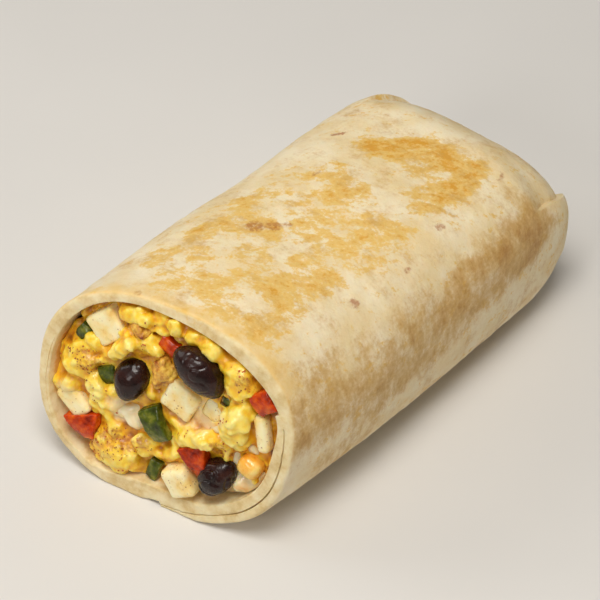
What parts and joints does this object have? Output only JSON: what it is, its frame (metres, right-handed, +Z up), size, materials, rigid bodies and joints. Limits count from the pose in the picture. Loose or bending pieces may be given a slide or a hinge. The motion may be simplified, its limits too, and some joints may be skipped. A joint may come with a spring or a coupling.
{
  "type": "halved breakfast burrito",
  "caption": "Half of a toasted flour tortilla roll with a folded end, cut open on scrambled egg, black beans, potato, peppers and melted cheese.",
  "frame": {"origin": "under the middle of the burrito's box, on the surface it rests on", "axes": "+Y along the roll from the cut end to the folded end, +Z up, +X to the right seen from the cut end"},
  "size_m": [0.0596, 0.1114, 0.0476],
  "materials": {
    "tortilla": "matte flour tortilla with toasted patches",
    "egg": "moist scrambled egg",
    "melted_cheese": "glossy melted cheese",
    "black_bean": "glossy cooked skin",
    "potato": "moist cut potato",
    "red_pepper": "glossy cooked pepper",
    "green_pepper": "glossy cooked pepper",
    "cheddar": "softened cheddar",
    "browned_crumble": "browned and rough"
  },
  "bodies": {
    "root": {"tortilla": "tortilla", "egg_filling": "egg", "melted_cheese_1": "melted_cheese", "melted_cheese_2": "melted_cheese", "melted_cheese_3": "melted_cheese", "black_bean_1": "black_bean", "black_bean_2": "black_bean", "black_bean_3": "black_bean", "potato_1": "potato", "potato_2": "potato", "potato_3": "potato", "potato_4": "potato", "potato_5": "potato", "potato_6": "potato", "red_pepper_1": "red_pepper", "red_pepper_2": "red_pepper", "red_pepper_3": "red_pepper", "red_pepper_4": "red_pepper", "green_pepper_1": "green_pepper", "green_pepper_2": "green_pepper", "green_pepper_3": "green_pepper", "green_pepper_4": "green_pepper", "green_pepper_5": "green_pepper", "cheddar_1": "cheddar", "browned_crumble_1": "browned_crumble", "browned_crumble_2": "browned_crumble"}
  },
  "joints": []
}
